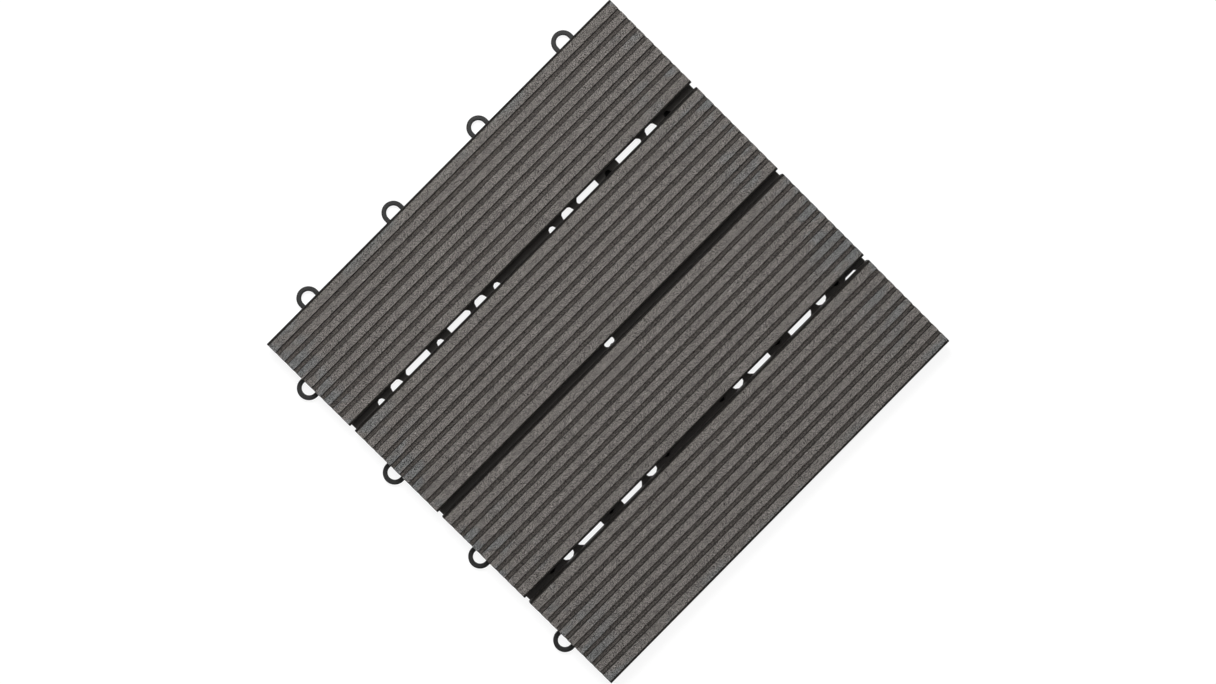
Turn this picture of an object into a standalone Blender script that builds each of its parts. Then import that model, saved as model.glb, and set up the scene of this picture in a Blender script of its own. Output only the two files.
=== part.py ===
"""Interlocking deck tile: four grooved wood-plastic slats screwed down onto a moulded lattice base.

All lengths are in metres and +Z is up. X runs along the slats, Y across them, and the tile stands on
Z = 0. Every piece is placed from the middle of the square of slats. That middle is moved so that the
origin lies under the centre of the whole tile, its coupling loops included.
"""

import math

import bmesh
import bpy
from mathutils import Matrix, Vector

# Slats
SLAT_COUNT = 4
SLAT_LENGTH = 0.300
SLAT_WIDTH = 0.072
SLAT_THICKNESS = 0.012
SLAT_GAP = 0.004
SLAT_EDGE_RADIUS = 0.0013
SLAT_UNDER_CHAMFER = 0.0008
GROOVE_COUNT = 8
GROOVE_WIDTH = 0.0025
GROOVE_DEPTH = 0.0020
GROOVE_LEAN = 0.0001
EDGE_RIB_WIDTH = 0.0076
RIB_CHAMFER = 0.0003
SLAT_EDGE_STEPS = 3

# Base: plate, skirt and webs
BASE_HEIGHT = 0.0097
BASE_INSET = 0.0008
SEAT_CLEARANCE = 0.0003
PLATE_THICKNESS = 0.002
SKIRT_THICKNESS = 0.002
WEB_THICKNESS = 0.0018
WEB_GROUND_GAP = 0.002

# Base: the rows of feet, as shares of half the tile's side, counted from its middle
FOOT_ROW_SHARES = (0.163, 0.495, 0.842)
FOOT_WALL = 0.0018
FOOT_FLOOR_THICKNESS = 0.0012
HEAD_CLEARANCE = 0.0005
SHANK_CLEARANCE = 0.0003

# Base: plate over the webs, and the windows between
PAD_WIDTH = 0.0182
SPOKE_BAR_WIDTH = 0.005
DIAMOND_BAR_WIDTH = 0.004
SPINE_BAR_WIDTH = 0.009
DIAMOND_SHARE = 0.615
DRAIN_HOLE_SHARE = 0.725
DRAIN_HOLE_RADIUS = 0.0042
DRAIN_HOLE_RIM = 0.003
WINDOW_FILLET = 0.0013
SMALL_FILLET = 0.0012
CENTRE_WINDOW_LENGTH = 0.0074
CENTRE_WINDOW_WIDTH = 0.0038
EDGE_SLOT_LENGTH = 0.0096
EDGE_SLOT_WIDTH = 0.004
EDGE_SLOT_FROM_EDGE = 0.0128
EDGE_SLOT_FROM_ROW = 0.0048

# Coupling loops on two sides, and the pins under the other two that drop into a neighbour's loops
LOOPS_PER_SIDE = 4
LOOP_HOLE_RADIUS = 0.0045
LOOP_WALL = 0.003
LOOP_OFFSET = 0.0021
LOOP_THICKNESS = 0.004
LOOP_GROUND_GAP = 0.001
TILE_JOINT_GAP = 0.001
PIN_CLEARANCE = 0.0004
NOTCH_CLEARANCE = 0.0011

# Screws, driven up through the feet into the slats
SCREW_SHANK_RADIUS = 0.002
SCREW_HEAD_RADIUS = 0.0037
SCREW_HEAD_HEIGHT = 0.0022
SCREW_TIP_LENGTH = 0.0025
SCREW_COVER = 0.002
SCREW_CLEARANCE = 0.0003
SCREW_COLUMNS = (0, 2, 3, 5)

# Feet that are closed at the ground, as (column, row): their holes show dark between the slats
CLOSED_FEET = [(column, 1) for column in range(2 * len(FOOT_ROW_SHARES))] + [(4, 4), (5, 4)]

# How finely round shapes are divided, and how far a cutter runs past what it cuts
LOOP_STEPS = 10
FOOT_STEPS = 9
BORE_STEPS = 8
DRAIN_STEPS = 10
PIN_STEPS = 8
WINDOW_FILLET_STEPS = 2
SMALL_FILLET_STEPS = 1
SCREW_STEPS = 8
PILOT_STEPS = 5
SHARP_ANGLE = math.radians(40)
OVERRUN = 0.002
FILLET_LIMIT_SHARE = 0.45

# Worked out from the sizes above
SLAT_PITCH = SLAT_WIDTH + SLAT_GAP
TILE_WIDTH = SLAT_COUNT * SLAT_PITCH - SLAT_GAP
HALF_LENGTH = SLAT_LENGTH / 2
HALF_WIDTH = TILE_WIDTH / 2
BASE_HALF_LENGTH = HALF_LENGTH - BASE_INSET
BASE_HALF_WIDTH = HALF_WIDTH - BASE_INSET
PLATE_UNDERSIDE = BASE_HEIGHT - PLATE_THICKNESS
SLAT_UNDERSIDE = BASE_HEIGHT + SEAT_CLEARANCE
LOOP_RADIUS = LOOP_HOLE_RADIUS + LOOP_WALL
LOOP_REACH = LOOP_OFFSET + LOOP_RADIUS
BORE_RADIUS = SCREW_HEAD_RADIUS + HEAD_CLEARANCE
FOOT_RADIUS = BORE_RADIUS + FOOT_WALL
COLUMNS = [share * HALF_LENGTH for share in FOOT_ROW_SHARES]
ROWS = [share * HALF_WIDTH for share in FOOT_ROW_SHARES]
ALL_COLUMNS = [-x for x in reversed(COLUMNS)] + COLUMNS
ALL_ROWS = [-y for y in reversed(ROWS)] + ROWS


def clear_scene():
    for item in list(bpy.data.objects):
        bpy.data.objects.remove(item, do_unlink=True)


def make_material(name, colour, roughness, metallic):
    material = bpy.data.materials.new(name)
    material.use_nodes = True
    shader = material.node_tree.nodes["Principled BSDF"]
    shader.inputs["Base Color"].default_value = (*colour, 1)
    shader.inputs["Roughness"].default_value = roughness
    shader.inputs["Metallic"].default_value = metallic
    return material


# Outlines in the plane, as lists of points that run anticlockwise


def circle(centre, radius, steps):
    return [centre + Matrix.Rotation(math.tau * i / steps, 2) @ Vector((radius, 0)) for i in range(steps)]


def hole_circle(centre, radius, steps):
    """A many-sided hole whose flats, not its corners, lie at the radius."""
    return circle(centre, radius / math.cos(math.pi / steps), steps)


def rectangle(low_x, high_x, low_y, high_y):
    return [Vector(p) for p in ((low_x, low_y), (high_x, low_y), (high_x, high_y), (low_x, high_y))]


def clip(outline, point, inward):
    """The part of a convex outline on the inward side of the line through the point."""
    kept = []
    for start, end in zip(outline, outline[1:] + outline[:1]):
        from_start = inward.dot(start - point)
        from_end = inward.dot(end - point)
        if from_start >= 0:
            kept.append(start)
        if from_start * from_end < 0:
            kept.append(start.lerp(end, from_start / (from_start - from_end)))
    return kept


def crossing(point, side, other_point, other_side):
    """Where the line through a point along a side meets another such line."""
    return point + side * ((other_point - point).cross(other_side) / side.cross(other_side))


def inset_outline(corners, insets):
    """The outline left when each side moves inwards by its own inset. A side starts at its corner."""
    ends = corners[1:] + corners[:1]
    area = sum(start.cross(end) for start, end in zip(corners, ends))
    lines = []
    for start, end, inset in zip(corners, ends, insets):
        side = (end - start).normalized()
        inward = Vector((-side.y, side.x)) if area > 0 else Vector((side.y, -side.x))
        lines.append((start + inward * inset, side))
    outline = [crossing(*before, *line) for before, line in zip(lines[-1:] + lines[:-1], lines)]
    return outline if area > 0 else outline[::-1]


def rounded(outline, radius, steps):
    """A convex outline with its corners rounded, less where a side is short."""
    points = []
    for before, corner, after in zip(outline[-1:] + outline[:-1], outline, outline[1:] + outline[:1]):
        back = before - corner
        ahead = after - corner
        half_angle = back.angle(ahead) / 2
        shortest = min(back.length, ahead.length)
        reach = min(radius / math.tan(half_angle), FILLET_LIMIT_SHARE * shortest)
        bisector = (back.normalized() + ahead.normalized()).normalized()
        centre = corner + bisector * (reach / math.cos(half_angle))
        first = corner + back.normalized() * reach - centre
        turn = math.pi - 2 * half_angle
        points += [centre + Matrix.Rotation(turn * i / steps, 2) @ first for i in range(steps + 1)]
    return points


def quarter_turned(outline):
    return [Vector((-p.y, p.x)) for p in outline]


# Closed bodies added to a mesh


def add_prism(mesh, outline, low, high):
    bottom = [mesh.verts.new((p.x, p.y, low)) for p in outline]
    top = [mesh.verts.new((p.x, p.y, high)) for p in outline]
    mesh.faces.new(bottom[::-1])
    mesh.faces.new(top)
    for i in range(len(outline)):
        mesh.faces.new((bottom[i - 1], bottom[i], top[i], top[i - 1]))


def add_turned(mesh, centre, profile, steps):
    """A solid of revolution. The profile runs upwards as (radius, height), and its ends lie on the axis."""
    rings = []
    for radius, height in profile[1:-1]:
        rings.append([mesh.verts.new((p.x, p.y, height)) for p in circle(centre, radius, steps)])
    foot = mesh.verts.new((centre.x, centre.y, profile[0][1]))
    head = mesh.verts.new((centre.x, centre.y, profile[-1][1]))
    for i in range(steps):
        mesh.faces.new((foot, rings[0][i], rings[0][i - 1]))
        mesh.faces.new((head, rings[-1][i - 1], rings[-1][i]))
        for lower, upper in zip(rings, rings[1:]):
            mesh.faces.new((lower[i - 1], lower[i], upper[i], upper[i - 1]))


# Objects


def make_object(name, mesh, material, tile):
    data = bpy.data.meshes.new(name)
    mesh.to_mesh(data)
    mesh.free()
    data.materials.append(material)
    item = bpy.data.objects.new(name, data)
    bpy.context.collection.objects.link(item)
    item.parent = tile
    return item


def make_helper(name, mesh, material, tile):
    """A shape that only cuts or joins another, and isn't a piece of the tile."""
    helper = make_object(name, mesh, material, tile)
    helper.hide_render = True
    helper.display_type = "WIRE"
    return helper


def add_boolean(item, operation, helper):
    modifier = item.modifiers.new(helper.name, "BOOLEAN")
    modifier.operation = operation
    modifier.solver = "EXACT"
    modifier.object = helper


# Slats


def slat_profile():
    """Half the outline of a slat's section, from the middle of its underside round to its top."""
    half = SLAT_WIDTH / 2
    top = SLAT_THICKNESS
    pitch = (SLAT_WIDTH - 2 * EDGE_RIB_WIDTH - GROOVE_WIDTH) / (GROOVE_COUNT - 1)
    points = [Vector((half - SLAT_UNDER_CHAMFER, 0)), Vector((half, SLAT_UNDER_CHAMFER))]
    round_centre = Vector((half - SLAT_EDGE_RADIUS, top - SLAT_EDGE_RADIUS))
    for i in range(SLAT_EDGE_STEPS + 1):
        turn = Matrix.Rotation(math.pi / 2 * i / SLAT_EDGE_STEPS, 2)
        points.append(round_centre + turn @ Vector((SLAT_EDGE_RADIUS, 0)))
    for groove in reversed(range(GROOVE_COUNT)):
        middle = (groove - (GROOVE_COUNT - 1) / 2) * pitch
        half_groove = GROOVE_WIDTH / 2
        half_floor = half_groove - GROOVE_LEAN
        points += [
            Vector((middle + half_groove + RIB_CHAMFER, top)),
            Vector((middle + half_groove, top - RIB_CHAMFER)),
            Vector((middle + half_floor, top - GROOVE_DEPTH)),
            Vector((middle - half_floor, top - GROOVE_DEPTH)),
            Vector((middle - half_groove, top - RIB_CHAMFER)),
            Vector((middle - half_groove - RIB_CHAMFER, top)),
        ]
    for i in range(SLAT_EDGE_STEPS + 1):
        turn = Matrix.Rotation(math.pi / 2 * (1 + i / SLAT_EDGE_STEPS), 2)
        points.append(Vector((-round_centre.x, round_centre.y)) + turn @ Vector((SLAT_EDGE_RADIUS, 0)))
    return points + [Vector((-half, SLAT_UNDER_CHAMFER)), Vector((SLAT_UNDER_CHAMFER - half, 0))]


def slat_mesh():
    """The section drawn out along X, standing on Z = 0."""
    mesh = bmesh.new()
    section = slat_profile()
    ends = [[mesh.verts.new((x, p.x, p.y)) for p in section] for x in (-HALF_LENGTH, HALF_LENGTH)]
    mesh.faces.new(ends[0][::-1])
    mesh.faces.new(ends[1])
    for i in range(len(section)):
        mesh.faces.new((ends[0][i - 1], ends[0][i], ends[1][i], ends[1][i - 1]))
    return mesh


def slat_middles():
    return [HALF_WIDTH - SLAT_WIDTH / 2 - i * SLAT_PITCH for i in range(SLAT_COUNT)]


def make_slats(material, holes, tile):
    for number, middle in enumerate(slat_middles(), 1):
        slat = make_object(f"slat_{number}", slat_mesh(), material, tile)
        slat.location = (0, middle, SLAT_UNDERSIDE)
        add_boolean(slat, "DIFFERENCE", holes)


# Screws


def screw_places():
    """For each slat, the points of its screws: four feet of the row nearest to the slat's own middle."""
    places = []
    for middle in slat_middles():
        row = min(ALL_ROWS, key=lambda y: abs(y - middle))
        places.append([Vector((ALL_COLUMNS[column], row)) for column in SCREW_COLUMNS])
    return places


def screw_tip_height():
    return SLAT_UNDERSIDE + SLAT_THICKNESS - GROOVE_DEPTH - SCREW_COVER


def screw_mesh():
    """A pan-head screw, its head up under the plate and its point up in the slat."""
    seat = PLATE_UNDERSIDE - SCREW_CLEARANCE
    bottom = seat - SCREW_HEAD_HEIGHT
    tip = screw_tip_height()
    profile = [
        (0, bottom),
        (SCREW_HEAD_RADIUS, bottom),
        (SCREW_HEAD_RADIUS, seat),
        (SCREW_SHANK_RADIUS, seat),
        (SCREW_SHANK_RADIUS, tip - SCREW_TIP_LENGTH),
        (0, tip),
    ]
    mesh = bmesh.new()
    add_turned(mesh, Vector((0, 0)), profile, SCREW_STEPS)
    return mesh


def make_screws(material, tile):
    for slat_number, places in enumerate(screw_places(), 1):
        for screw_number, place in enumerate(places, 1):
            screw = make_object(f"screw_{slat_number}_{screw_number}", screw_mesh(), material, tile)
            screw.location = (place.x, place.y, 0)
            screw.data.shade_smooth()
            screw.data.set_sharp_from_angle(angle=SHARP_ANGLE)


def screw_hole_mesh():
    mesh = bmesh.new()
    for places in screw_places():
        for place in places:
            outline = hole_circle(place, SCREW_SHANK_RADIUS + SCREW_CLEARANCE, PILOT_STEPS)
            add_prism(mesh, outline, BASE_HEIGHT, screw_tip_height() + SCREW_CLEARANCE)
    return mesh


# Base


def quarter_cells():
    """The cells of one quarter of the lattice: kites inside its diamond of webs and wings outside it.

    Spokes run from the quarter's middle to its corner feet, and each lies between two kites and two wings.
    A kite starts at the middle and a wing at the diamond's point.
    """
    middle = Vector((COLUMNS[0] + COLUMNS[2], ROWS[0] + ROWS[2])) / 2
    reach = Vector((COLUMNS[2] - COLUMNS[0], ROWS[2] - ROWS[0])) / 2
    d = DIAMOND_SHARE
    kites = []
    wings = []
    for sign in (1, -1):
        for swap in (False, True):
            kite = [(0, 0), (sign * d / 2, -d / 2), (sign * d, 0), (sign * d / 2, d / 2)]
            wing = [(sign * d, 0), (sign * d / 2, -d / 2), (sign, -1), (sign, 1), (sign * d / 2, d / 2)]
            kites.append([spread(p, swap, middle, reach) for p in kite])
            wings.append([spread(p, swap, middle, reach) for p in wing])
    return kites, wings


def wing_halves(wing):
    """The two convex halves of a wing, each from the diamond's point to the middle of the far side."""
    point, near_low, far_low, far_high, near_high = wing
    far_middle = (far_low + far_high) / 2
    return [[point, far_middle, far_low, near_low], [point, far_middle, far_high, near_high]]


def spread(point, swap, middle, reach):
    x, y = point[::-1] if swap else point
    return Vector((middle.x + x * reach.x, middle.y + y * reach.y))


def in_all_quarters(outline):
    """The outline in each quarter of the tile."""
    copies = []
    for x in (1, -1):
        for y in (1, -1):
            copy = [Vector((p.x * x, p.y * y)) for p in outline]
            copies.append(copy if x * y > 0 else copy[::-1])
    return copies


def band_cells():
    """The cells of the cross between the quarters, in one quarter, as rectangles beside the spine."""
    cells = [rectangle(0, COLUMNS[0], 0, ROWS[0])]
    for low, high in zip(ROWS, ROWS[1:]):
        cells.append(rectangle(0, COLUMNS[0], low, high))
    for low, high in zip(COLUMNS, COLUMNS[1:]):
        cells.append(rectangle(low, high, 0, ROWS[0]))
    return cells


def rim_cells():
    """The cells between the outermost feet and the skirt, in one quarter.

    Each comes with the insets of its lower, right, upper and left side: a skirt, or half a web.
    """
    web = WEB_THICKNESS / 2
    skirt = SKIRT_THICKNESS
    cells = []
    for low, high in ((0, COLUMNS[0]), (COLUMNS[0], COLUMNS[2])):
        cells.append((rectangle(low, high, ROWS[2], BASE_HALF_WIDTH), (web, web, skirt, web)))
    for low, high in ((0, ROWS[0]), (ROWS[0], ROWS[2])):
        cells.append((rectangle(COLUMNS[2], BASE_HALF_LENGTH, low, high), (web, skirt, web, web)))
    corner = rectangle(COLUMNS[2], BASE_HALF_LENGTH, ROWS[2], BASE_HALF_WIDTH)
    cells.append((corner, (web, skirt, skirt, web)))
    return cells


def pocket_mesh():
    """What is hollow between the webs, from below the plate down."""
    kites, wings = quarter_cells()
    cells = kites + wings + band_cells()
    outlines = [inset_outline(cell, [WEB_THICKNESS / 2] * len(cell)) for cell in cells]
    outlines += [inset_outline(cell, insets) for cell, insets in rim_cells()]
    mesh = bmesh.new()
    for outline in outlines:
        for copy in in_all_quarters(outline):
            add_prism(mesh, copy, WEB_GROUND_GAP - OVERRUN, PLATE_UNDERSIDE)
    return mesh


def window_outlines():
    """The windows through the plate of one quarter."""
    pad = PAD_WIDTH / 2
    spoke = SPOKE_BAR_WIDTH / 2
    diamond = DIAMOND_BAR_WIDTH / 2
    axis = DRAIN_HOLE_RADIUS + DRAIN_HOLE_RIM
    spine = SPINE_BAR_WIDTH / 2
    hub = Vector((COLUMNS[1], ROWS[1]))
    kites, wings = quarter_cells()
    outlines = []
    for kite in kites:
        outline = inset_outline(kite, [spoke, diamond, diamond, spoke])
        outward = (kite[2] - kite[0]).normalized()
        outline = rounded(outline, WINDOW_FILLET, WINDOW_FILLET_STEPS)
        outlines.append(clip(outline, hub + outward * pad, outward))
    for half in [half for wing in wings for half in wing_halves(wing)]:
        outlines.append(inset_outline(half, [axis, pad, spoke, diamond]))
    for cell in band_cells()[1:]:
        below = spine if cell[0].y == 0 else pad
        left = spine if cell[0].x == 0 else pad
        outlines.append(inset_outline(cell, [below, pad, pad, left]))
    return outlines


def drain_hole_outlines():
    """The round drain holes of one quarter, one on each web between the diamond and a middle foot."""
    middle = Vector((COLUMNS[0] + COLUMNS[2], ROWS[0] + ROWS[2])) / 2
    reach = Vector((COLUMNS[2] - COLUMNS[0], ROWS[2] - ROWS[0])) / 2 * DRAIN_HOLE_SHARE
    centres = []
    for sign in (1, -1):
        centres.append(Vector((middle.x + sign * reach.x, ROWS[1])))
        centres.append(Vector((COLUMNS[1], middle.y + sign * reach.y)))
    return [hole_circle(centre, DRAIN_HOLE_RADIUS, DRAIN_STEPS) for centre in centres]


def window_mesh():
    mesh = bmesh.new()
    for outline in window_outlines() + drain_hole_outlines():
        for copy in in_all_quarters(outline):
            add_prism(mesh, copy, -OVERRUN, BASE_HEIGHT + OVERRUN)
    half_length = CENTRE_WINDOW_LENGTH / 2
    half_width = CENTRE_WINDOW_WIDTH / 2
    centre_window = rectangle(-half_length, half_length, -half_width, half_width)
    centre_window = rounded(centre_window, SMALL_FILLET, SMALL_FILLET_STEPS)
    add_prism(mesh, centre_window, -OVERRUN, BASE_HEIGHT + OVERRUN)
    slot_x = BASE_HALF_LENGTH - EDGE_SLOT_FROM_EDGE
    slot_y = -ROWS[1] - EDGE_SLOT_FROM_ROW
    half_length = EDGE_SLOT_LENGTH / 2
    half_width = EDGE_SLOT_WIDTH / 2
    slot = rectangle(slot_x - half_length, slot_x + half_length, slot_y - half_width, slot_y + half_width)
    add_prism(mesh, rounded(slot, SMALL_FILLET, SMALL_FILLET_STEPS), -OVERRUN, BASE_HEIGHT + OVERRUN)
    return mesh


def foot_places():
    return [Vector((x, y)) for x in ALL_COLUMNS for y in ALL_ROWS]


def foot_mesh():
    """The feet as solid posts, from the ground up into the plate."""
    mesh = bmesh.new()
    for place in foot_places():
        add_prism(mesh, circle(place, FOOT_RADIUS, FOOT_STEPS), 0, PLATE_UNDERSIDE + PLATE_THICKNESS / 2)
    return mesh


def bore_profile(low):
    """The hollow of a foot from the low end up: wide for a screw's head, then narrow for its shank."""
    flats_share = 1 / math.cos(math.pi / BORE_STEPS)
    wide = BORE_RADIUS * flats_share
    narrow = (SCREW_SHANK_RADIUS + SHANK_CLEARANCE) * flats_share
    return [
        (0, low),
        (wide, low),
        (wide, PLATE_UNDERSIDE),
        (narrow, PLATE_UNDERSIDE),
        (narrow, BASE_HEIGHT + OVERRUN),
        (0, BASE_HEIGHT + OVERRUN),
    ]


def bore_mesh():
    mesh = bmesh.new()
    for column, x in enumerate(ALL_COLUMNS):
        for row, y in enumerate(ALL_ROWS):
            low = FOOT_FLOOR_THICKNESS if (column, row) in CLOSED_FEET else -OVERRUN
            add_turned(mesh, Vector((x, y)), bore_profile(low), BORE_STEPS)
    return mesh


def coupling_places(half_side):
    spacing = 2 * half_side / LOOPS_PER_SIDE
    return [(i + 1 / 2) * spacing - half_side for i in range(LOOPS_PER_SIDE)]


def loop_outline(along, half_side, base_half_side):
    """A loop on the +Y side: two legs from inside the skirt, joined by a half ring."""
    root = base_half_side - SKIRT_THICKNESS / 2
    centre = Vector((along, half_side + LOOP_OFFSET))
    outer = []
    inner = []
    for i in range(LOOP_STEPS + 1):
        turn = Matrix.Rotation(math.pi * i / LOOP_STEPS, 2)
        outer.append(centre + turn @ Vector((LOOP_RADIUS, 0)))
        inner.append(centre + turn @ Vector((LOOP_HOLE_RADIUS, 0)))
    roots = [Vector((along + x, root)) for x in (-LOOP_RADIUS, -LOOP_HOLE_RADIUS, LOOP_HOLE_RADIUS, LOOP_RADIUS)]
    return outer + roots[:2] + inner[::-1] + roots[2:]


def loop_mesh():
    """The loops of the +Y side, and those of the -X side a quarter turn on."""
    mesh = bmesh.new()
    outlines = [loop_outline(x, HALF_WIDTH, BASE_HALF_WIDTH) for x in coupling_places(HALF_LENGTH)]
    outlines += [
        quarter_turned(loop_outline(y, HALF_LENGTH, BASE_HALF_LENGTH))
        for y in coupling_places(HALF_WIDTH)
    ]
    for outline in outlines:
        add_prism(mesh, outline, LOOP_GROUND_GAP, LOOP_GROUND_GAP + LOOP_THICKNESS)
    return mesh


def pin_outline(along, half_side, base_half_side):
    """A pin on the -Y side, round towards the tile and flat in line with the skirt."""
    centre = Vector((along, -half_side + LOOP_OFFSET - TILE_JOINT_GAP))
    outline = circle(centre, LOOP_HOLE_RADIUS - PIN_CLEARANCE, PIN_STEPS)
    return clip(outline, Vector((along, -base_half_side)), Vector((0, 1)))


def pin_mesh():
    """The pins of the -Y side, and those of the +X side a quarter turn on."""
    mesh = bmesh.new()
    outlines = [pin_outline(x, HALF_WIDTH, BASE_HALF_WIDTH) for x in coupling_places(HALF_LENGTH)]
    outlines += [
        quarter_turned(pin_outline(y, HALF_LENGTH, BASE_HALF_LENGTH))
        for y in coupling_places(HALF_WIDTH)
    ]
    for outline in outlines:
        add_prism(mesh, outline, LOOP_GROUND_GAP, PLATE_UNDERSIDE + PLATE_THICKNESS / 2)
    return mesh


def notch_mesh():
    """The gates in the skirt, round each pin, that a neighbour's loops pass under."""
    mesh = bmesh.new()
    half = LOOP_RADIUS + NOTCH_CLEARANCE
    top = LOOP_GROUND_GAP + LOOP_THICKNESS + NOTCH_CLEARANCE
    for along, half_side, turned in (
        [(x, BASE_HALF_WIDTH, False) for x in coupling_places(HALF_LENGTH)]
        + [(y, BASE_HALF_LENGTH, True) for y in coupling_places(HALF_WIDTH)]
    ):
        inner = -half_side + SKIRT_THICKNESS + OVERRUN
        outline = rectangle(along - half, along + half, -half_side - OVERRUN, inner)
        add_prism(mesh, quarter_turned(outline) if turned else outline, -OVERRUN, top)
    return mesh


def make_base(material, tile):
    """A block hollowed between its webs, with feet, loops and pins joined on, and then its openings cut."""
    block = bmesh.new()
    outline = rectangle(-BASE_HALF_LENGTH, BASE_HALF_LENGTH, -BASE_HALF_WIDTH, BASE_HALF_WIDTH)
    add_prism(block, outline, WEB_GROUND_GAP, BASE_HEIGHT)
    base = make_object("base_grid", block, material, tile)
    loops = make_helper("join_loops", loop_mesh(), material, tile)
    add_boolean(base, "DIFFERENCE", make_helper("cut_pockets", pocket_mesh(), material, tile))
    add_boolean(base, "DIFFERENCE", make_helper("cut_notches", notch_mesh(), material, tile))
    add_boolean(base, "UNION", make_helper("join_feet", foot_mesh(), material, tile))
    add_boolean(base, "UNION", make_helper("join_pins", pin_mesh(), material, tile))
    add_boolean(base, "UNION", loops)
    add_boolean(base, "DIFFERENCE", make_helper("cut_windows", window_mesh(), material, tile))
    add_boolean(base, "DIFFERENCE", make_helper("cut_bores", bore_mesh(), material, tile))


def main():
    clear_scene()
    tile = bpy.data.objects.new("tile_middle", None)
    bpy.context.collection.objects.link(tile)
    tile.location = (LOOP_REACH / 2, -LOOP_REACH / 2, 0)
    composite = make_material("wood_plastic_composite", (0.155, 0.146, 0.138), 0.75, 0)
    plastic = make_material("black_moulded_plastic", (0.018, 0.018, 0.018), 0.5, 0)
    steel = make_material("screw_steel", (0.6, 0.6, 0.62), 0.35, 1)
    make_base(plastic, tile)
    holes = make_helper("cut_screw_holes", screw_hole_mesh(), composite, tile)
    make_slats(composite, holes, tile)
    make_screws(steel, tile)


main()
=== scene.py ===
import math

import bmesh
import bpy
from mathutils import Matrix, Vector


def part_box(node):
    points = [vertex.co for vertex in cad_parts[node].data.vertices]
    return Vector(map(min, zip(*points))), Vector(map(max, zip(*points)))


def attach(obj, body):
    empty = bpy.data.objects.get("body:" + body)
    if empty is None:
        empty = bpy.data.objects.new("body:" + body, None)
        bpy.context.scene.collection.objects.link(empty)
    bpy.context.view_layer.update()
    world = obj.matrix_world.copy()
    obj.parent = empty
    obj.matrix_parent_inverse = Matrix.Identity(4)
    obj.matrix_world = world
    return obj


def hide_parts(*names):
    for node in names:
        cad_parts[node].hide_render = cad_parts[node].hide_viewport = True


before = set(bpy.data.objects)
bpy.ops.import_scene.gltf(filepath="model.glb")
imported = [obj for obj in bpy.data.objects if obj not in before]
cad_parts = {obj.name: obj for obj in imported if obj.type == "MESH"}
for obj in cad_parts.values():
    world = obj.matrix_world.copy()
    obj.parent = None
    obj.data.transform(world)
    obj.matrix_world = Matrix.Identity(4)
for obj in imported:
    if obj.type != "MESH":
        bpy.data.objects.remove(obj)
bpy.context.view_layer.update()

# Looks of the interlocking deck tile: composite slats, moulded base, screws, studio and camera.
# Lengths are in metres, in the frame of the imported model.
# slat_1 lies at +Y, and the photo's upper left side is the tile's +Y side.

# The tile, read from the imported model
SLATS = sorted(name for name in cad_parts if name.startswith("slat_"))
SCREWS = sorted(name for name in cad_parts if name.startswith("screw_"))
FIRST_SLAT_LOW, FIRST_SLAT_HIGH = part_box(SLATS[0])
LAST_SLAT_LOW, LAST_SLAT_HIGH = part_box(SLATS[-1])
SLAT_TOP = FIRST_SLAT_HIGH.z
PLATE_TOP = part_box("base_grid")[1].z
SLAT_WIDTH = FIRST_SLAT_HIGH.y - FIRST_SLAT_LOW.y
SLAT_PITCH = (FIRST_SLAT_HIGH.y - LAST_SLAT_HIGH.y) / (len(SLATS) - 1)
MIDDLE = Vector((
    (FIRST_SLAT_LOW.x + FIRST_SLAT_HIGH.x) / 2,
    (LAST_SLAT_LOW.y + FIRST_SLAT_HIGH.y) / 2,
    SLAT_TOP,
))

# Camera, found from the four corners of the slats in the photo
FRAME_WIDTH_PX = 1216
FOCAL_PX = 2903.9
SENSOR_WIDTH_MM = 36
CLIP_START = 0.05
CLIP_END = 50
TURN = math.radians(45)
LEAN_DEGREES = Vector((1.60, 3.38, 0.22))
MIDDLE_SEEN_FROM_CAMERA = Vector((0.00158, -0.00041, -1.8))

# Studio
FLOOR_SIZE = 12.0
FLOOR_GLOW = 0.88
FLOOR_COLOUR = (0.16, 0.16, 0.16)
FLOOR_ROUGHNESS = 0.9
WORLD_COLOUR = (1.0, 1.0, 1.0)
WORLD_STRENGTH = 0.20
# Each lamp's name, place from the tile's middle, diameter and power
LAMPS = (
    ("key", (0.25, 0.65, 1.5), 0.5, 21.5),
    ("left", (-0.75, 0.3, 2.1), 1.0, 6),
    ("right", (0.75, 0.4, 2.1), 1.0, 6),
    ("fill", (0.2, -1.6, 2.2), 1.6, 4),
)

# Loops of the base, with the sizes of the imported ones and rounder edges
LOOPS_PER_SIDE = 4
LOOP_HOLE_RADIUS = 0.0045
LOOP_WALL = 0.003
LOOP_OFFSET = 0.0021
LOOP_THICKNESS = 0.004
LOOP_GROUND_GAP = 0.001
LOOP_ROUNDING = 0.0007
LOOP_ROOT = 0.001
LOOP_STEPS = 36
ROUNDING_STEPS = 4

# Edges of the slats and of the rest of the base
WELD_DISTANCE = 0.00001
FLAT_ANGLE = math.radians(1)
BASE_ROUNDING = 0.00025
BASE_SHARP_ANGLE = math.radians(50)
SLAT_ROUNDING = 0.00012
SLAT_SHARP_ANGLE = math.radians(35)
BEVEL_STEPS = 2

# A rim of the base is rounded where it is this long, and where each edge that meets it either leads
# away by this much or leads straight on
SHORTEST_RIM = 0.0005
RIM_ROOM = 0.00055
STRAIGHT_ON = 0.000001

# Screws
SCREW_HEAD_HEIGHT = 0.0022
SCREW_HEAD_ROUNDING = 0.0009
SCREW_SHANK_RADIUS = 0.002
SCREW_TIP_LENGTH = 0.0025
SCREW_STEPS = 32
RECESS_LENGTH = 0.0042
RECESS_WIDTH = 0.0011
RECESS_DEPTH = 0.0014
RECESS_NARROWING = 1 / 2
THREAD_PITCH = 0.0012
THREAD_DEPTH = 0.0005
SCREW_SHARP_ANGLE = math.radians(35)
SCREW_TURN = math.radians(37)


# Node trees

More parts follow.
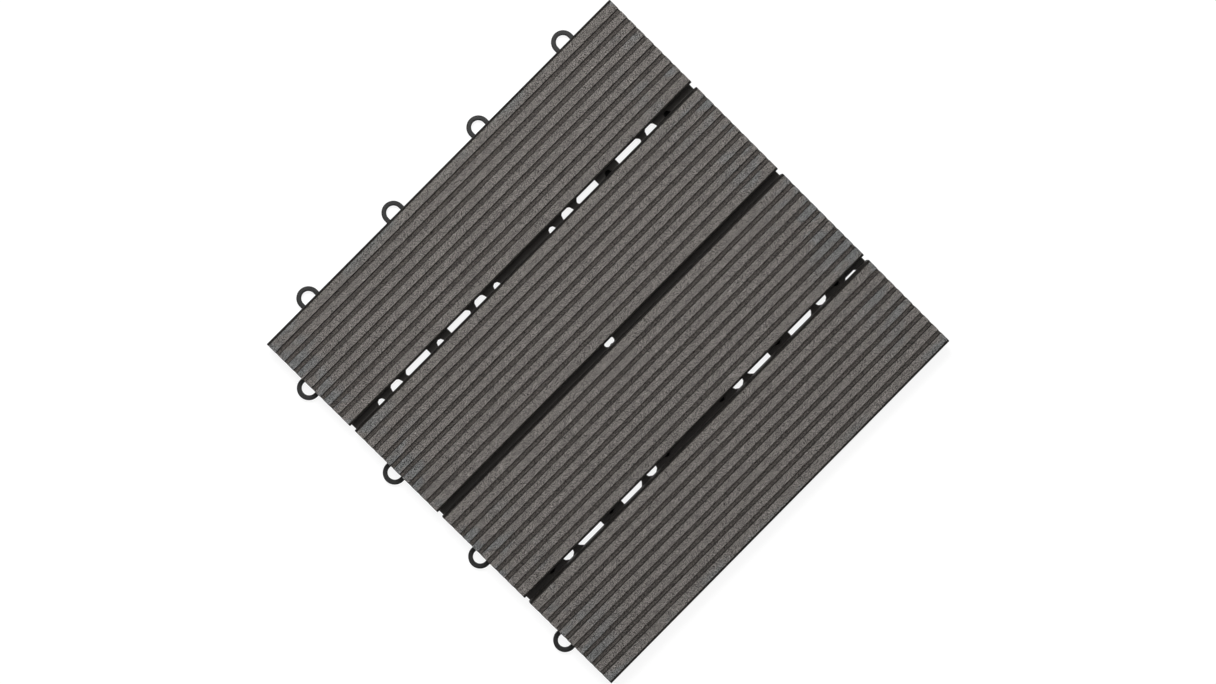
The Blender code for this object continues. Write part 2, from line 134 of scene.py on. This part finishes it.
# Keeps level faces off the planes where the noise is faint
NOISE_TURN = (0.6, 0.4, 0.3)


def add_node(tree, kind, inputs=None, **settings):
    """A node with its settings, and its inputs given as values or as the sockets that feed them."""
    made = tree.nodes.new(kind)
    for name, value in settings.items():
        setattr(made, name, value)
    for key, value in (inputs or {}).items():
        if isinstance(value, bpy.types.NodeSocket):
            tree.links.new(value, made.inputs[key])
        else:
            made.inputs[key].default_value = value
    return made


def maths(tree, operation, first, second=0.0, third=0.0):
    inputs = {0: first, 1: second, 2: third}
    return add_node(tree, "ShaderNodeMath", inputs, operation=operation).outputs[0]


def ramp(tree, value, low, high, to_low=0.0, to_high=1.0):
    """A smooth step from to_low to to_high while the value goes from low to high."""
    inputs = {"Value": value, "From Min": low, "From Max": high, "To Min": to_low, "To Max": to_high}
    return add_node(tree, "ShaderNodeMapRange", inputs, interpolation_type="SMOOTHSTEP").outputs[0]


def fall(tree, value, high, low):
    """A smooth step down, from one where the value is low to zero where it is high."""
    return ramp(tree, value, low, high, 1.0, 0.0)


def mix_colour(tree, share, first, second):
    """A colour mix, whose colours go into sockets 6 and 7 and come out of socket 2."""
    made = add_node(tree, "ShaderNodeMix", {0: share}, data_type="RGBA")
    for socket, value in ((made.inputs[6], first), (made.inputs[7], second)):
        if isinstance(value, bpy.types.NodeSocket):
            tree.links.new(value, socket)
        else:
            socket.default_value = (*value, 1)
    return made.outputs[2]


def mix_number(tree, share, first, second):
    return add_node(tree, "ShaderNodeMix", {0: share, 2: first, 3: second}, data_type="FLOAT").outputs[0]


def scale_colour(tree, colour, tone):
    inputs = {0: colour, "Scale": tone}
    return add_node(tree, "ShaderNodeVectorMath", inputs, operation="SCALE").outputs[0]


def noise(tree, coordinates, per_metre, detail=2.0, roughness=0.5):
    """Noise whose features are stretched by giving their count per metre along X, Y and Z."""
    inputs = {"Vector": coordinates, "Scale": per_metre, "Rotation": NOISE_TURN}
    mapping = add_node(tree, "ShaderNodeMapping", inputs)
    inputs = {"Vector": mapping.outputs[0], "Scale": 1.0, "Detail": detail, "Roughness": roughness}
    return add_node(tree, "ShaderNodeTexNoise", inputs).outputs["Fac"]


def layered_tone(tree, place, layers):
    """The product of layers of noise, each turned into a tone."""
    tones = [
        ramp(tree, noise(tree, place, per_metre, detail, roughness), *window, *limits)
        for per_metre, detail, roughness, window, limits in layers
    ]
    product = tones[0]
    for tone in tones[1:]:
        product = maths(tree, "MULTIPLY", product, tone)
    return product


def add_bump(tree, shader, height, strength, depth):
    bump = add_node(tree, "ShaderNodeBump", {"Strength": strength, "Distance": depth, "Height": height})
    tree.links.new(bump.outputs[0], shader.inputs["Normal"])


def new_material(name):
    material = bpy.data.materials.new(name)
    material.use_nodes = True
    tree = material.node_tree
    return material, tree, tree.nodes["Principled BSDF"]


# Composite of the slats

# A pair of depths, widths or distances says where one colour goes over into the next
BRUSHED_COLOUR = (0.134, 0.1236, 0.1158)
SKIN_COLOUR = (0.062, 0.055, 0.050)
# Painted shade: a near-black colour on the groove walls, their chamfers and the slats' rounded long edges,
# where shadow falls
PAINTED_WALL_SHADE_COLOUR = (0.012, 0.0105, 0.009)
SIDE_COLOUR = (0.045, 0.040, 0.036)
# Between these depths under the top, the painted shade goes over into the sides' own colour
SIDE_DEPTH = (0.0045, 0.0020)
WALL_SHADE_TILT = (0.42, 0.80)
# The painted shade also lies on the top within this distance of each long edge
EDGE_SHADE_WIDTH = (0.0020, 0.0012)
SAWN_COLOUR = (0.105, 0.097, 0.090)
FLECK_COLOUR = (0.25, 0.237, 0.224)
BLUISH_COLOUR = (0.122, 0.128, 0.130)
BRUSHED_DEPTH = (0.00022, 0.00006)
BLUISH_FROM_MIDDLE = (0.105, 0.150)
BLUISH_ASIDE_FROM_MIDDLE = (0.142, 0.150)
BLUISH_PATCHES = (40, 70, 70)
BLUISH_WINDOW = (0.48, 0.62)
BLUISH_SHARE = 0.75
FLECKS = (420, 900, 900)
FLECK_WINDOW = (0.66, 0.74)
FLECK_SHARE = 0.45
SAWN_TILT = (0.6, 0.8)
COMPOSITE_ROUGHNESS = (0.55, 0.82)
COMPOSITE_SPECULAR = 0.14
COMPOSITE_BUMP_STRENGTH = 0.5
COMPOSITE_BUMP_DEPTH = 0.00010

# Each layer's features per metre along X, Y and Z, detail, roughness, window of the noise, and tones
# The grain's layers are grains of wood flour, coarser grains, streaks brushed along X, and mottling
GRAIN_LAYERS = (
    ((2300, 3000, 3000), 0.0, 0.5, (0.38, 0.62), (0.15, 1.85)),
    ((1000, 2000, 2000), 1.0, 0.5, (0.32, 0.68), (0.93, 1.07)),
    ((230, 2400, 2400), 1.0, 0.5, (0.32, 0.68), (0.92, 1.08)),
    ((70, 130, 130), 3.0, 0.6, (0.30, 0.70), (0.96, 1.04)),
)
# The layers of a cut end are upright scratches of the saw and coarse grains
SAW_LAYERS = (
    ((900, 2200, 120), 2.0, 0.6, (0.32, 0.68), (0.75, 1.25)),
    ((1100, 1100, 1100), 2.0, 0.6, (0.32, 0.68), (0.75, 1.25)),
)


def make_composite():
    """Brushed on top, with the darker skin of the extrusion in the grooves, painted shade on the groove
    walls and along the long edges, and sawn at the ends.
    """
    material, tree, shader = new_material("wood_plastic_composite")
    place = add_node(tree, "ShaderNodeTexCoord").outputs["Object"]
    axes = add_node(tree, "ShaderNodeSeparateXYZ", {0: place}).outputs
    normal = add_node(tree, "ShaderNodeNewGeometry").outputs["Normal"]
    facing = add_node(tree, "ShaderNodeSeparateXYZ", {0: normal}).outputs
    brushed = ramp(tree, axes["Z"], SLAT_TOP - BRUSHED_DEPTH[0], SLAT_TOP - BRUSHED_DEPTH[1])
    sawn = ramp(tree, maths(tree, "ABSOLUTE", facing["X"]), *SAWN_TILT)
    # Painted shade on faces that face along Y, which are the groove walls, their chamfers and the long
    # edges
    painted_shade = ramp(tree, maths(tree, "ABSOLUTE", facing["Y"]), *WALL_SHADE_TILT)
    across = maths(tree, "FLOORED_MODULO", maths(tree, "SUBTRACT", axes["Y"], LAST_SLAT_LOW.y), SLAT_PITCH)
    from_edge = maths(tree, "MINIMUM", across, maths(tree, "SUBTRACT", SLAT_WIDTH, across))
    # Painted shade also on the top next to each long edge
    painted_shade = maths(tree, "MAXIMUM", painted_shade, fall(tree, from_edge, *EDGE_SHADE_WIDTH))

    along = maths(tree, "ABSOLUTE", maths(tree, "SUBTRACT", axes["X"], MIDDLE.x))
    aside = maths(tree, "ABSOLUTE", maths(tree, "SUBTRACT", axes["Y"], MIDDLE.y))
    near_end = ramp(tree, along, *BLUISH_FROM_MIDDLE)
    near_side = ramp(tree, aside, *BLUISH_ASIDE_FROM_MIDDLE)
    patches = ramp(tree, noise(tree, place, BLUISH_PATCHES), *BLUISH_WINDOW)
    bluish = maths(tree, "MULTIPLY", patches, maths(tree, "MAXIMUM", near_end, near_side))
    fleck = ramp(tree, noise(tree, place, FLECKS, detail=1.0), *FLECK_WINDOW)

    top = mix_colour(tree, maths(tree, "MULTIPLY", bluish, BLUISH_SHARE), BRUSHED_COLOUR, BLUISH_COLOUR)
    top = mix_colour(tree, maths(tree, "MULTIPLY", fleck, FLECK_SHARE), top, FLECK_COLOUR)
    colour = mix_colour(tree, brushed, SKIN_COLOUR, top)
    low = fall(tree, axes["Z"], SLAT_TOP - SIDE_DEPTH[1], SLAT_TOP - SIDE_DEPTH[0])
    # Painted shade in the upper part of the walls and edges, and the sides' own colour lower down
    shaded_side = mix_colour(tree, low, PAINTED_WALL_SHADE_COLOUR, SIDE_COLOUR)
    colour = mix_colour(tree, painted_shade, colour, shaded_side)
    colour = mix_colour(tree, sawn, colour, SAWN_COLOUR)
    grain = layered_tone(tree, place, GRAIN_LAYERS)
    tone = mix_number(tree, sawn, grain, layered_tone(tree, place, SAW_LAYERS))
    tree.links.new(scale_colour(tree, colour, tone), shader.inputs["Base Color"])

    tree.links.new(ramp(tree, brushed, 0, 1, *COMPOSITE_ROUGHNESS), shader.inputs["Roughness"])
    shader.inputs["Specular IOR Level"].default_value = COMPOSITE_SPECULAR
    add_bump(tree, shader, grain, COMPOSITE_BUMP_STRENGTH, COMPOSITE_BUMP_DEPTH)
    return material


# Black plastic of the base

PLASTIC_COLOUR = (0.0145, 0.0145, 0.0145)
# Brown wood dust on the plate's top, made lighter than the plastic also as painted light, which lifts the
# top of the plate above the lower parts
DUST_AND_PAINTED_LIGHT_COLOUR = (0.046, 0.040, 0.035)
DUST_AND_LIGHT_DEPTH = (0.0008, 0.0003)
DUST_AND_LIGHT_WINDOW = (0.25, 0.75)
DUST_AND_LIGHT_SHARES = (0.4, 1.0)
PLASTIC_FLOW = (28, 28, 28)
PLASTIC_FLOW_TONE = 0.35
PLASTIC_LEAST_TONE = 0.82
PLASTIC_GRAIN = (2600, 2600, 2600)
PLASTIC_FLOW_WINDOW = (0.3, 0.7)
PLASTIC_ROUGHNESS = (0.42, 0.54)
PLASTIC_SPECULAR = 0.20
PLASTIC_BUMP_STRENGTH = 0.25
PLASTIC_BUMP_DEPTH = 0.00005


def make_plastic():
    """Black, with a moulded grain, and brown wood dust with painted light that lightens the top of the
    plate between the slats.
    """
    material, tree, shader = new_material("black_moulded_plastic")
    place = add_node(tree, "ShaderNodeTexCoord").outputs["Object"]
    height = add_node(tree, "ShaderNodeSeparateXYZ", {0: place}).outputs["Z"]
    flow = noise(tree, place, PLASTIC_FLOW, detail=3.0)
    grain = noise(tree, place, PLASTIC_GRAIN, detail=2.0, roughness=0.6)
    tone = maths(tree, "MULTIPLY_ADD", flow, PLASTIC_FLOW_TONE, PLASTIC_LEAST_TONE)
    # The top of the plate is lightened by the brown dust and by painted light
    plate = ramp(tree, height, PLATE_TOP - DUST_AND_LIGHT_DEPTH[0], PLATE_TOP - DUST_AND_LIGHT_DEPTH[1])
    dust_and_light = maths(tree, "MULTIPLY", plate, ramp(tree, grain, *DUST_AND_LIGHT_WINDOW, *DUST_AND_LIGHT_SHARES))
    colour = mix_colour(tree, dust_and_light, scale_colour(tree, PLASTIC_COLOUR, tone), DUST_AND_PAINTED_LIGHT_COLOUR)
    tree.links.new(colour, shader.inputs["Base Color"])
    tree.links.new(ramp(tree, flow, *PLASTIC_FLOW_WINDOW, *PLASTIC_ROUGHNESS), shader.inputs["Roughness"])
    shader.inputs["Specular IOR Level"].default_value = PLASTIC_SPECULAR
    add_bump(tree, shader, grain, PLASTIC_BUMP_STRENGTH, PLASTIC_BUMP_DEPTH)
    return material


# Steel of the screws

STEEL_COLOUR = (0.60, 0.60, 0.62)
STEEL_WEAR = (900, 900, 900)
STEEL_WEAR_TONE = 0.3
STEEL_LEAST_TONE = 0.85
STEEL_WEAR_WINDOW = (0.3, 0.7)
STEEL_ROUGHNESS = (0.22, 0.40)


def make_steel():
    material, tree, shader = new_material("screw_steel")
    place = add_node(tree, "ShaderNodeTexCoord").outputs["Object"]
    wear = noise(tree, place, STEEL_WEAR, detail=3.0, roughness=0.6)
    tone = maths(tree, "MULTIPLY_ADD", wear, STEEL_WEAR_TONE, STEEL_LEAST_TONE)
    tree.links.new(scale_colour(tree, STEEL_COLOUR, tone), shader.inputs["Base Color"])
    shader.inputs["Metallic"].default_value = 1.0
    tree.links.new(ramp(tree, wear, *STEEL_WEAR_WINDOW, *STEEL_ROUGHNESS), shader.inputs["Roughness"])
    return material


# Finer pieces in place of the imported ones


def welded_copy(node):
    """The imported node's mesh with its split corners joined."""
    mesh = bmesh.new()
    mesh.from_mesh(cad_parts[node].data)
    bmesh.ops.remove_doubles(mesh, verts=mesh.verts, dist=WELD_DISTANCE)
    return mesh


def add_piece(name, mesh, material, slot, *nodes):
    """A smooth-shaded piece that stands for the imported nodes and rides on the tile."""
    data = bpy.data.meshes.new(name)
    mesh.to_mesh(data)
    mesh.free()
    data.shade_smooth()
    data.materials.append(material)
    piece = bpy.data.objects.new(name, data)
    bpy.context.scene.collection.objects.link(piece)
    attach(piece, "root")
    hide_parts(*nodes)
    return piece


def round_edges(piece, rounding, sharp_angle, limit_method="ANGLE"):
    piece.data.set_sharp_from_angle(angle=sharp_angle)
    bevel = piece.modifiers.new("rounded_edges", "BEVEL")
    bevel.width = rounding
    bevel.segments = BEVEL_STEPS
    bevel.limit_method = limit_method
    bevel.angle_limit = sharp_angle
    bevel.harden_normals = True


def add_sweep(mesh, rings):
    """A closed body through rings of equal length."""
    loops = [[mesh.verts.new(point) for point in ring] for ring in rings]
    for before, after in zip(loops, loops[1:]):
        for i in range(len(before)):
            mesh.faces.new((before[i - 1], before[i], after[i], after[i - 1]))
    mesh.faces.new(loops[0][::-1])
    mesh.faces.new(loops[-1])


def loop_section():
    """The section of a loop with rounded edges, as (away from the hole, up) from its own middle."""
    middle = Vector((LOOP_WALL / 2 - LOOP_ROUNDING, LOOP_THICKNESS / 2 - LOOP_ROUNDING))
    points = []
    for quarter in range(4):
        x = middle.x if quarter in (0, 3) else -middle.x
        y = middle.y if quarter < 2 else -middle.y
        for i in range(ROUNDING_STEPS + 1):
            turn = Matrix.Rotation(math.pi / 2 * (quarter + i / ROUNDING_STEPS), 2)
            points.append(Vector((x, y)) + turn @ Vector((LOOP_ROUNDING, 0)))
    return points


def add_loop(mesh, hole, outward, leg):
    """Two legs out of the skirt, as long as leg, joined by a half ring round the hole's middle."""
    along = Vector((outward.y, -outward.x, 0))
    radius = LOOP_HOLE_RADIUS + LOOP_WALL / 2
    stations = [(hole + along * radius - outward * leg, along)]
    for i in range(LOOP_STEPS + 1):
        angle = math.pi * i / LOOP_STEPS
        away = along * math.cos(angle) + outward * math.sin(angle)
        stations.append((hole + away * radius, away))
    stations.append((hole - along * radius - outward * leg, -along))
    add_sweep(mesh, [
        [place + away * p.x + Vector((0, 0, p.y)) for p in loop_section()]
        for place, away in stations
    ])


def coupling_places(half_side):
    spacing = 2 * half_side / LOOPS_PER_SIDE
    return [(i + 1 / 2) * spacing - half_side for i in range(LOOPS_PER_SIDE)]


def cut_side(mesh, place, outward):
    """Takes off what stands out of the skirt on one side, and closes the cut."""
    parts = list(mesh.verts) + list(mesh.edges) + list(mesh.faces)
    bmesh.ops.bisect_plane(mesh, geom=parts, plane_co=place, plane_no=outward, clear_outer=True)
    bmesh.ops.holes_fill(mesh, edges=[edge for edge in mesh.edges if edge.is_boundary])


def lead_away(edge, other):
    """How far the other edge leads away from the line of this one."""
    along = (edge.verts[1].co - edge.verts[0].co).normalized()
    reach = other.verts[1].co - other.verts[0].co
    return (reach - along * reach.dot(along)).length


def mark_rims(mesh):
    """Marks the sharp edges on top of the plate whose faces have room for the rounding."""
    weight = mesh.edges.layers.float.new("bevel_weight_edge")
    for edge in mesh.edges:
        on_top = min(vert.co.z for vert in edge.verts) > PLATE_TOP - WELD_DISTANCE
        sharp = edge.calc_face_angle(0) > BASE_SHARP_ANGLE
        if not (on_top and sharp and edge.calc_length() > SHORTEST_RIM):
            continue
        beside = [loop.link_loop_prev.edge for loop in edge.link_loops]
        beside += [loop.link_loop_next.edge for loop in edge.link_loops]
        rooms = [lead_away(edge, other) for other in beside]
        if all(room > RIM_ROOM or room < STRAIGHT_ON for room in rooms):
            edge[weight] = 1.0


def make_base(material):
    """The base with rounded rims, and smooth round loops in place of the faceted ones."""
    low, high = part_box("base_grid")
    half_length = (FIRST_SLAT_HIGH.x - FIRST_SLAT_LOW.x) / 2
    half_width = (FIRST_SLAT_HIGH.y - LAST_SLAT_LOW.y) / 2
    base_half_length = high.x - MIDDLE.x
    base_half_width = MIDDLE.y - low.y
    height = LOOP_GROUND_GAP + LOOP_THICKNESS / 2
    mesh = welded_copy("base_grid")
    cut_side(mesh, Vector((MIDDLE.x - base_half_length, 0, 0)), Vector((-1, 0, 0)))
    cut_side(mesh, Vector((0, MIDDLE.y + base_half_width, 0)), Vector((0, 1, 0)))
    bmesh.ops.remove_doubles(mesh, verts=mesh.verts, dist=WELD_DISTANCE)
    bmesh.ops.dissolve_limit(mesh, angle_limit=FLAT_ANGLE, verts=mesh.verts, edges=mesh.edges)
    # Triangles again, because rounding the rims of very large faces makes them overlap
    bmesh.ops.triangulate(mesh, faces=mesh.faces)
    mark_rims(mesh)
    for x in coupling_places(half_length):
        hole = Vector((MIDDLE.x + x, MIDDLE.y + half_width + LOOP_OFFSET, height))
        add_loop(mesh, hole, Vector((0, 1, 0)), half_width + LOOP_OFFSET - base_half_width + LOOP_ROOT)
    for y in coupling_places(half_width):
        hole = Vector((MIDDLE.x - half_length - LOOP_OFFSET, MIDDLE.y + y, height))
        add_loop(mesh, hole, Vector((-1, 0, 0)), half_length + LOOP_OFFSET - base_half_length + LOOP_ROOT)
    bmesh.ops.recalc_face_normals(mesh, faces=mesh.faces)
    base = add_piece("base_moulding", mesh, material, "base_plastic", "base_grid")
    round_edges(base, BASE_ROUNDING, BASE_SHARP_ANGLE, "WEIGHT")
    # Normals weighted by area, so that thin triangles don't tilt the shading of a flat face
    level = base.modifiers.new("level_faces", "WEIGHTED_NORMAL")
    level.keep_sharp = True


def make_slats(material):
    for number, node in enumerate(SLATS, 1):
        mesh = welded_copy(node)
        slat = add_piece(f"deck_board_{number}", mesh, material, "slat_composite", node)
        round_edges(slat, SLAT_ROUNDING, SLAT_SHARP_ANGLE)


def screw_profile(bottom, top, head_radius):
    """Half the outline of a pan-head screw from its head up, as (radius, height)."""
    seat = bottom + SCREW_HEAD_HEIGHT
    root = SCREW_SHANK_RADIUS - THREAD_DEPTH
    rounding = SCREW_HEAD_ROUNDING
    profile = [(0, bottom)]
    for i in range(ROUNDING_STEPS + 1):
        angle = math.pi / 2 * i / ROUNDING_STEPS
        radius = head_radius - rounding + rounding * math.sin(angle)
        profile.append((radius, bottom + rounding - rounding * math.cos(angle)))
    profile += [(head_radius, seat), (root, seat)]
    height = seat
    while height + THREAD_PITCH < top - SCREW_TIP_LENGTH:
        profile += [(root, height + THREAD_PITCH / 2), (SCREW_SHANK_RADIUS, height + THREAD_PITCH * 3 / 4)]
        height += THREAD_PITCH
        profile.append((root, height))
    return profile + [(0, top)]


def turned_mesh(profile):
    mesh = bmesh.new()
    rings = []
    for radius, height in profile[1:-1]:
        turns = [Matrix.Rotation(math.tau * i / SCREW_STEPS, 3, "Z") for i in range(SCREW_STEPS)]
        rings.append([mesh.verts.new(turn @ Vector((radius, 0, height))) for turn in turns])
    foot = mesh.verts.new((0, 0, profile[0][1]))
    tip = mesh.verts.new((0, 0, profile[-1][1]))
    for i in range(SCREW_STEPS):
        mesh.faces.new((foot, rings[0][i], rings[0][i - 1]))
        mesh.faces.new((tip, rings[-1][i - 1], rings[-1][i]))
        for lower, upper in zip(rings, rings[1:]):
            mesh.faces.new((lower[i - 1], lower[i], upper[i], upper[i - 1]))
    return mesh


def recess_mesh(bottom):
    """A cross that narrows upwards, to cut the driver's recess."""
    mesh = bmesh.new()
    for long, wide in ((RECESS_LENGTH, RECESS_WIDTH), (RECESS_WIDTH, RECESS_LENGTH)):
        # The corners of a cube of size 2 lie one unit from its middle along each axis
        made = bmesh.ops.create_cube(mesh, size=2)
        for vert in made["verts"]:
            upper = vert.co.z > 0
            width_share = RECESS_NARROWING if upper else 1
            vert.co.x *= long / 2 * width_share
            vert.co.y *= wide / 2 * width_share
            vert.co.z = bottom + (RECESS_DEPTH if upper else -RECESS_DEPTH)
    return mesh


def make_screws(material):
    """Pan-head screws with a cross recess and a thread, each turned a little differently."""
    low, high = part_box(SCREWS[0])
    profile = screw_profile(low.z, high.z, (high.x - low.x) / 2)
    cutter_data = bpy.data.meshes.new("recess")
    cutter_mesh = recess_mesh(low.z)
    cutter_mesh.to_mesh(cutter_data)
    cutter_mesh.free()
    for number, node in enumerate(SCREWS):
        low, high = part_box(node)
        place = Vector(((low.x + high.x) / 2, (low.y + high.y) / 2, 0))
        turn = Matrix.Rotation(SCREW_TURN * number, 4, "Z")
        cutter = bpy.data.objects.new(f"recess_{number}", cutter_data)
        bpy.context.scene.collection.objects.link(cutter)
        cutter.matrix_world = Matrix.Translation(place) @ turn
        cutter.hide_render = True
        cutter.display_type = "WIRE"
        mesh = turned_mesh(profile)
        mesh.transform(Matrix.Translation(place))
        screw = add_piece(f"fine_{node}", mesh, material, "screw_steel", node)
        screw.data.set_sharp_from_angle(angle=SCREW_SHARP_ANGLE)
        cut = screw.modifiers.new("recess", "BOOLEAN")
        cut.operation = "DIFFERENCE"
        cut.solver = "EXACT"
        cut.use_self = True
        cut.object = cutter


# Floor, world, lamps and camera


def make_floor():
    """A pale floor that glows for the camera and for reflections, and keeps the tile's shadow."""
    bpy.ops.mesh.primitive_plane_add(size=FLOOR_SIZE, location=(MIDDLE.x, MIDDLE.y, 0))
    floor = bpy.context.object
    floor.name = "floor"
    material, tree, shader = new_material("pale_floor")
    rays = add_node(tree, "ShaderNodeLightPath").outputs
    seen = maths(tree, "MAXIMUM", rays["Is Camera Ray"], rays["Is Glossy Ray"])
    seen = maths(tree, "MAXIMUM", seen, rays["Is Transmission Ray"])
    shader.inputs["Base Color"].default_value = (*FLOOR_COLOUR, 1)
    shader.inputs["Roughness"].default_value = FLOOR_ROUGHNESS
    shader.inputs["Specular IOR Level"].default_value = 0.0
    shader.inputs["Emission Color"].default_value = (1, 1, 1, 1)
    glow = maths(tree, "MULTIPLY", seen, FLOOR_GLOW)
    tree.links.new(glow, shader.inputs["Emission Strength"])
    floor.data.materials.append(material)


def make_world():
    world = bpy.data.worlds.new("studio")
    bpy.context.scene.world = world
    world.use_nodes = True
    tree = world.node_tree
    background = tree.nodes["Background"]
    background.inputs["Color"].default_value = (*WORLD_COLOUR, 1)
    rays = add_node(tree, "ShaderNodeLightPath").outputs
    strength = ramp(tree, rays["Is Camera Ray"], 0, 1, WORLD_STRENGTH, 1.0)
    tree.links.new(strength, background.inputs["Strength"])


def add_lamp(name, place, size, power):
    data = bpy.data.lights.new(name, "AREA")
    data.shape = "DISK"
    data.size = size
    data.energy = power
    lamp = bpy.data.objects.new(name, data)
    bpy.context.scene.collection.objects.link(lamp)
    lamp.location = MIDDLE + Vector(place)
    lamp.rotation_mode = "QUATERNION"
    lamp.rotation_quaternion = (-Vector(place)).to_track_quat("-Z", "Y")


def make_camera():
    """The camera looks almost straight down, with the slats' length turned across the frame's diagonal."""
    data = bpy.data.cameras.new("camera")
    data.sensor_width = SENSOR_WIDTH_MM
    data.lens = FOCAL_PX / FRAME_WIDTH_PX * SENSOR_WIDTH_MM
    data.clip_start = CLIP_START
    data.clip_end = CLIP_END
    camera = bpy.data.objects.new("camera", data)
    bpy.context.scene.collection.objects.link(camera)
    lean = Vector([math.radians(angle) for angle in LEAN_DEGREES])
    to_camera = Matrix.Rotation(lean.length, 3, lean) @ Matrix.Rotation(TURN, 3, "Z")
    from_camera = to_camera.transposed()
    place = MIDDLE - from_camera @ MIDDLE_SEEN_FROM_CAMERA
    camera.matrix_world = Matrix.Translation(place) @ from_camera.to_4x4()
    bpy.context.scene.camera = camera


make_slats(make_composite())
make_base(make_plastic())
make_screws(make_steel())
make_floor()
make_world()
for lamp in LAMPS:
    add_lamp(*lamp)
make_camera()

bpy.context.scene.view_settings.view_transform = "Standard"
